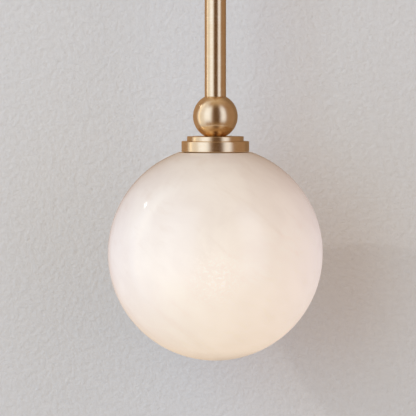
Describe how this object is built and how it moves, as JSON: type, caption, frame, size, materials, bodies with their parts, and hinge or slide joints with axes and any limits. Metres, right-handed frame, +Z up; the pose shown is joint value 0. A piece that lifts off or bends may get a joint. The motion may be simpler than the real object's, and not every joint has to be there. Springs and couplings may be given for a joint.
{
  "type": "hanging pendant wall sconce",
  "caption": "Wall light with a translucent stone globe hanging on a brass drop rod from a short arm, with a stepped wall canopy, a swivelling ball elbow and a stepped globe fitter.",
  "frame": {"origin": "centre of the canopy's back on the wall, midway between the box screw slots", "axes": "+Z up, +Y into the wall, the arm runs along -Y into the room, +X to the right seen from the room"},
  "size_m": [0.1524, 0.1912, 0.4612],
  "materials": {
    "brushed_brass": "satin, finely brushed, warm champagne tone",
    "plain_brass": "machined, unlacquered",
    "zinc_steel": "zinc plated",
    "hard_steel": "hardened dowel",
    "green_screw": "green earth screw",
    "tinned_copper": "tinned copper",
    "slip_washer": "white slippery plastic",
    "black_lead": "black insulated wire",
    "white_lead": "white insulated wire",
    "green_lead": "green insulated wire",
    "connector_plastic": "orange twist-on connector",
    "porcelain": "white glazed porcelain",
    "screw_shell_metal": "nickel plated",
    "silicone": "translucent white silicone",
    "alabaster": "polished translucent alabaster, faint veins",
    "frosted_glass": "frosted inside",
    "black_glass": "black glass insulator",
    "solder": "solder button",
    "led_post": "light-giving post"
  },
  "bodies": {
    "wall_bracket": {"mounting_bar": "zinc_steel", "ground_screw": "green_screw", "canopy_studs": "zinc_steel", "stud_nuts": "zinc_steel", "canopy": "brushed_brass", "canopy_cap_nuts": "brushed_brass", "arm_nipple": "zinc_steel", "ground_lug": "tinned_copper", "arm_lock_washer": "zinc_steel", "arm_lock_nut": "zinc_steel", "arm_collar": "brushed_brass", "arm_tube": "brushed_brass", "arm_bushing": "plain_brass", "swivel_spigot": "plain_brass", "stop_pin": "hard_steel", "swivel_washers": "slip_washer", "swivel_cap": "brushed_brass", "arm_line_lead": "black_lead", "arm_neutral_lead": "white_lead", "wire_connectors": "connector_plastic", "ground_lead": "green_lead"},
    "pendant": {"swivel_ball": "brushed_brass", "upper_nipple": "zinc_steel", "drop_rod": "brushed_brass", "rod_bushings": "plain_brass", "lower_ball": "brushed_brass", "through_nipple": "zinc_steel", "fitter_cap": "brushed_brass", "fitter_ring": "brushed_brass", "fitter_washer": "zinc_steel", "fitter_nut": "zinc_steel", "socket_yoke": "zinc_steel", "socket_rivets": "plain_brass", "socket_body": "porcelain", "socket_shell": "screw_shell_metal", "socket_contact": "plain_brass", "rod_line_lead": "black_lead", "rod_neutral_lead": "white_lead"},
    "gasket": {"globe_gasket": "silicone"},
    "globe": {"globe_shade": "alabaster", "globe_collar": "plain_brass"},
    "bulb": {"bulb_glass": "frosted_glass", "bulb_base": "screw_shell_metal", "bulb_insulator": "black_glass", "bulb_button": "solder", "bulb_led_post": "led_post"}
  },
  "joints": [
    {"name": "pendant_swing", "type": "hinge", "parent": "wall_bracket", "child": "pendant", "pos_m": [0, -0.115, 0], "axis": [0, 1, 0], "range_deg": [-15, 15]},
    {"name": "globe_lower", "type": "slide", "parent": "pendant", "child": "gasket", "axis": [0, 0, -1], "range_m": [0, 0.00501]},
    {"name": "globe_turn", "type": "hinge", "parent": "gasket", "child": "globe", "pos_m": [0, -0.115, -0.32495], "axis": [0, 0, -1], "range_deg": [0, 900]},
    {"name": "bulb_turn", "type": "hinge", "parent": "pendant", "child": "bulb", "pos_m": [0, -0.115, -0.337], "axis": [0, 0, -1], "range_deg": [0, 1440]}
  ],
  "couplings": [
    {"joint": "globe_lower", "follows": "globe_turn", "m_per_rad": 0.00031831}
  ]
}
